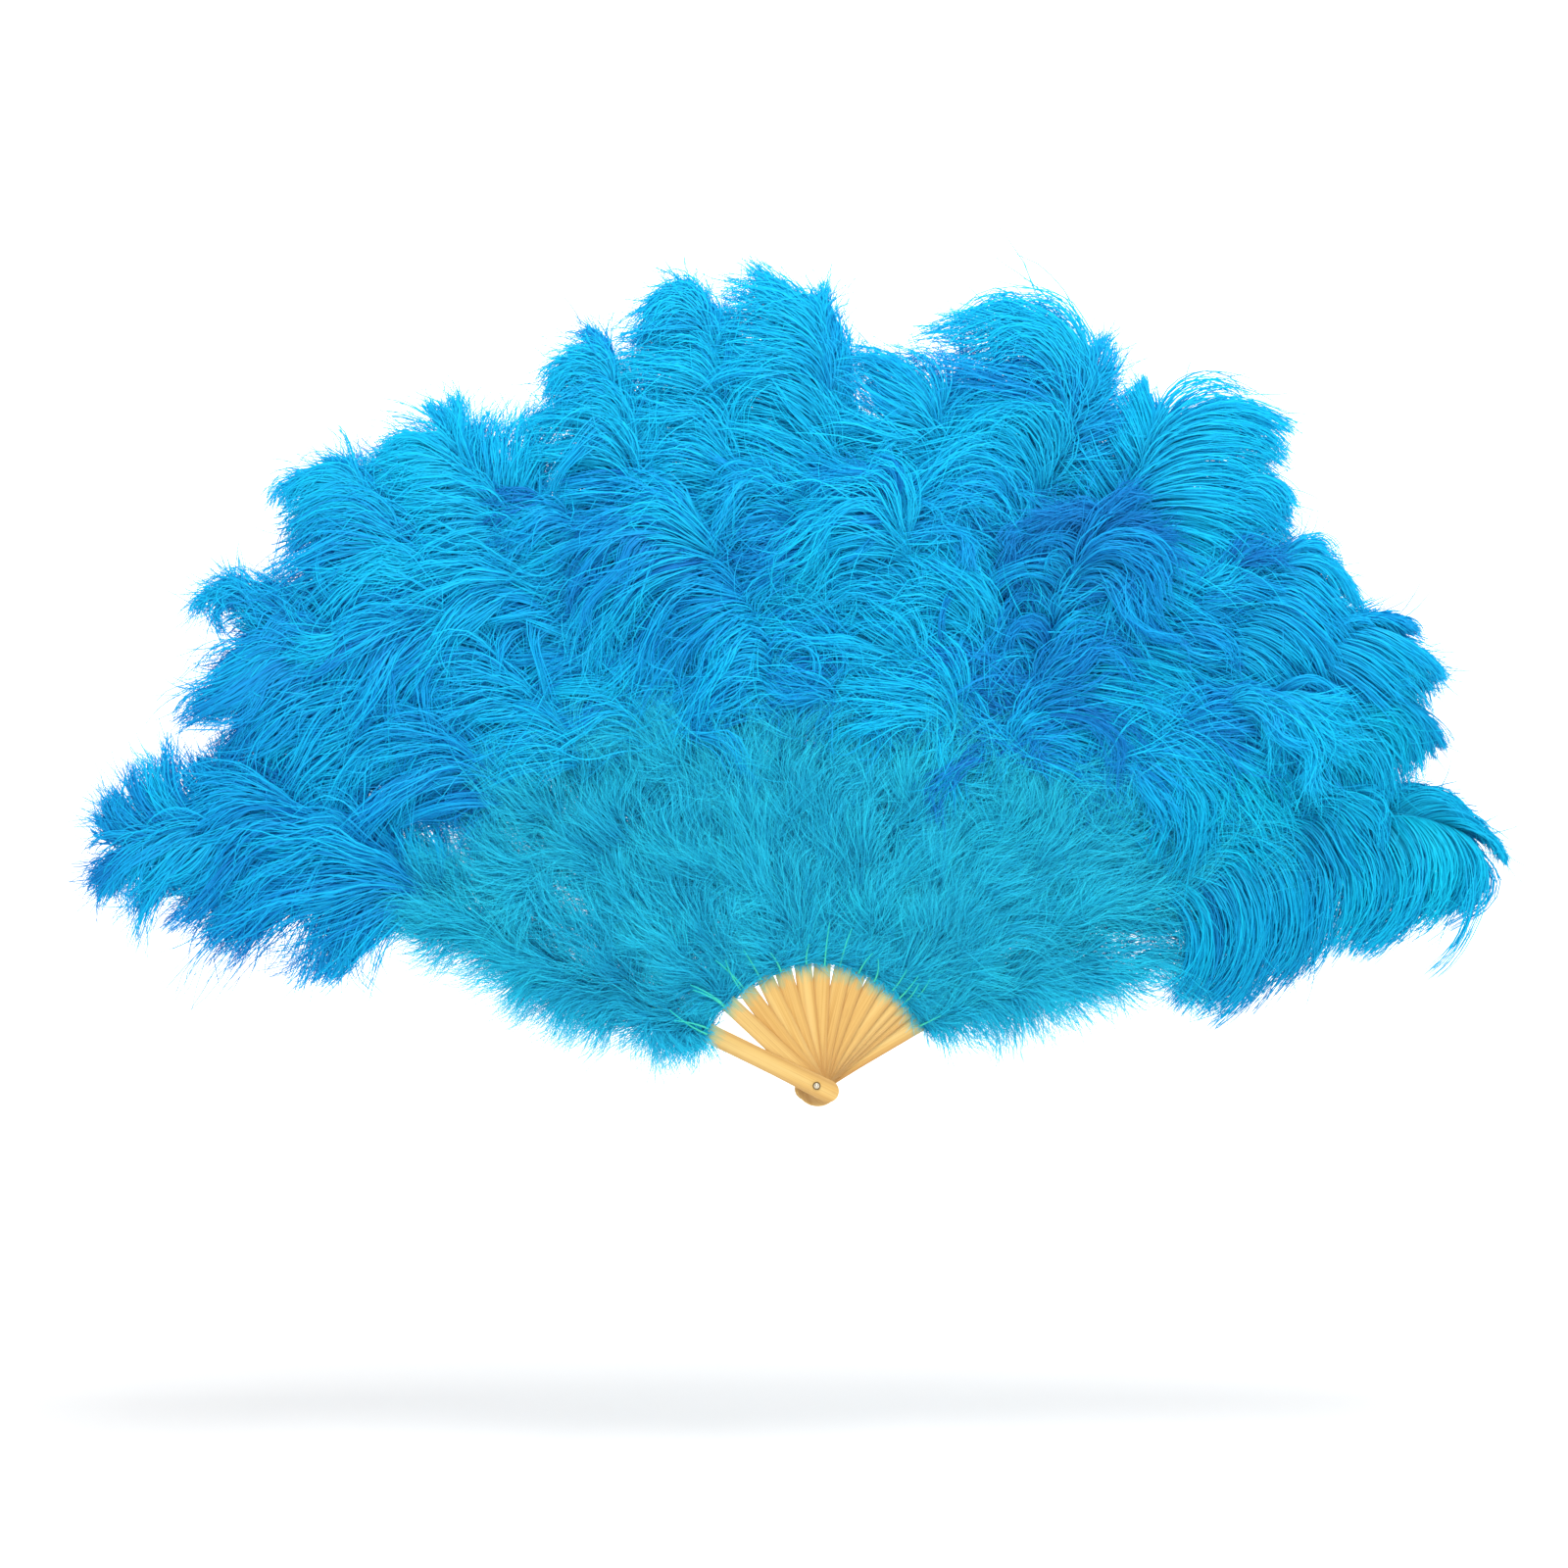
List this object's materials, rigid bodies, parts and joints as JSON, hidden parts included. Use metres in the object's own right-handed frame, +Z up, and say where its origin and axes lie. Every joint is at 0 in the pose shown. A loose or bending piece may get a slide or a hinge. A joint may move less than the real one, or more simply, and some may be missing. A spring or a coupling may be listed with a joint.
{
  "type": "feather fan",
  "caption": "Large folding ostrich feather fan, opened: bamboo sticks on a rivet, each with fluffy marabou and long drooping ostrich plumes.",
  "frame": {"origin": "on the rivet's axis, half way through the stack of sticks", "axes": "+X to the right of someone who looks at the front, +Y from front to back, through the fan's thickness, +Z up, as the open fan is held"},
  "size_m": [1.2711, 0.0983, 0.762],
  "materials": {
    "bamboo": "satin",
    "rivet_metal": "satin",
    "ostrich": "matte",
    "marabou": "matte"
  },
  "bodies": {
    "arm_0": {"front_guard": "bamboo", "marabou_0": "marabou", "long_plume_0": "ostrich", "rivet": "rivet_metal", "front_washer": "rivet_metal", "back_washer": "rivet_metal"},
    "arm_1": {"stick_1": "bamboo", "marabou_1": "marabou", "long_plume_1": "ostrich", "short_plume_1": "ostrich"},
    "arm_2": {"stick_2": "bamboo", "marabou_2": "marabou", "long_plume_2": "ostrich", "short_plume_2": "ostrich"},
    "arm_3": {"stick_3": "bamboo", "marabou_3": "marabou", "long_plume_3": "ostrich", "short_plume_3": "ostrich"},
    "arm_4": {"stick_4": "bamboo", "marabou_4": "marabou", "long_plume_4": "ostrich", "short_plume_4": "ostrich"},
    "arm_5": {"stick_5": "bamboo", "marabou_5": "marabou", "long_plume_5": "ostrich", "short_plume_5": "ostrich"},
    "arm_6": {"stick_6": "bamboo", "marabou_6": "marabou", "long_plume_6": "ostrich", "short_plume_6": "ostrich"},
    "arm_7": {"stick_7": "bamboo", "marabou_7": "marabou", "long_plume_7": "ostrich", "short_plume_7": "ostrich"},
    "arm_8": {"stick_8": "bamboo", "marabou_8": "marabou", "long_plume_8": "ostrich", "short_plume_8": "ostrich"},
    "arm_9": {"stick_9": "bamboo", "marabou_9": "marabou", "long_plume_9": "ostrich", "short_plume_9": "ostrich"},
    "arm_10": {"stick_10": "bamboo", "marabou_10": "marabou", "long_plume_10": "ostrich", "short_plume_10": "ostrich"},
    "arm_11": {"stick_11": "bamboo", "marabou_11": "marabou", "long_plume_11": "ostrich", "short_plume_11": "ostrich"},
    "arm_12": {"stick_12": "bamboo", "marabou_12": "marabou", "long_plume_12": "ostrich", "short_plume_12": "ostrich"},
    "arm_13": {"stick_13": "bamboo", "marabou_13": "marabou", "long_plume_13": "ostrich"},
    "arm_14": {"back_guard": "bamboo", "marabou_14": "marabou", "long_plume_14": "ostrich"}
  },
  "joints": [
    {"name": "fan_fold", "type": "hinge", "parent": "arm_0", "child": "arm_14", "pos_m": [0, 0, 0], "axis": [0, -1, 0], "range_deg": [0, 123.5]},
    {"name": "stick_1_turn", "type": "hinge", "parent": "arm_0", "child": "arm_1", "pos_m": [0, 0, 0], "axis": [0, -1, 0], "range_deg": [0, 17.01]},
    {"name": "stick_2_turn", "type": "hinge", "parent": "arm_0", "child": "arm_2", "pos_m": [0, 0, 0], "axis": [0, -1, 0], "range_deg": [0, 27.61]},
    {"name": "stick_3_turn", "type": "hinge", "parent": "arm_0", "child": "arm_3", "pos_m": [0, 0, 0], "axis": [0, -1, 0], "range_deg": [0, 38.31]},
    {"name": "stick_4_turn", "type": "hinge", "parent": "arm_0", "child": "arm_4", "pos_m": [0, 0, 0], "axis": [0, -1, 0], "range_deg": [0, 47.71]},
    {"name": "stick_5_turn", "type": "hinge", "parent": "arm_0", "child": "arm_5", "pos_m": [0, 0, 0], "axis": [0, -1, 0], "range_deg": [0, 57.51]},
    {"name": "stick_6_turn", "type": "hinge", "parent": "arm_0", "child": "arm_6", "pos_m": [0, 0, 0], "axis": [0, -1, 0], "range_deg": [0, 66.81]},
    {"name": "stick_7_turn", "type": "hinge", "parent": "arm_0", "child": "arm_7", "pos_m": [0, 0, 0], "axis": [0, -1, 0], "range_deg": [0, 76.81]},
    {"name": "stick_8_turn", "type": "hinge", "parent": "arm_0", "child": "arm_8", "pos_m": [0, 0, 0], "axis": [0, -1, 0], "range_deg": [0, 84.61]},
    {"name": "stick_9_turn", "type": "hinge", "parent": "arm_0", "child": "arm_9", "pos_m": [0, 0, 0], "axis": [0, -1, 0], "range_deg": [0, 93.91]},
    {"name": "stick_10_turn", "type": "hinge", "parent": "arm_0", "child": "arm_10", "pos_m": [0, 0, 0], "axis": [0, -1, 0], "range_deg": [0, 102.01]},
    {"name": "stick_11_turn", "type": "hinge", "parent": "arm_0", "child": "arm_11", "pos_m": [0, 0, 0], "axis": [0, -1, 0], "range_deg": [0, 107.01]},
    {"name": "stick_12_turn", "type": "hinge", "parent": "arm_0", "child": "arm_12", "pos_m": [0, 0, 0], "axis": [0, -1, 0], "range_deg": [0, 111.01]},
    {"name": "stick_13_turn", "type": "hinge", "parent": "arm_0", "child": "arm_13", "pos_m": [0, 0, 0], "axis": [0, -1, 0], "range_deg": [0, 115.01]}
  ],
  "couplings": [
    {"joint": "stick_1_turn", "follows": "fan_fold", "ratio": 0.13765},
    {"joint": "stick_2_turn", "follows": "fan_fold", "ratio": 0.22348},
    {"joint": "stick_3_turn", "follows": "fan_fold", "ratio": 0.31012},
    {"joint": "stick_4_turn", "follows": "fan_fold", "ratio": 0.38623},
    {"joint": "stick_5_turn", "follows": "fan_fold", "ratio": 0.46559},
    {"joint": "stick_6_turn", "follows": "fan_fold", "ratio": 0.54089},
    {"joint": "stick_7_turn", "follows": "fan_fold", "ratio": 0.62186},
    {"joint": "stick_8_turn", "follows": "fan_fold", "ratio": 0.68502},
    {"joint": "stick_9_turn", "follows": "fan_fold", "ratio": 0.76032},
    {"joint": "stick_10_turn", "follows": "fan_fold", "ratio": 0.82591},
    {"joint": "stick_11_turn", "follows": "fan_fold", "ratio": 0.8664},
    {"joint": "stick_12_turn", "follows": "fan_fold", "ratio": 0.89878},
    {"joint": "stick_13_turn", "follows": "fan_fold", "ratio": 0.93117}
  ]
}
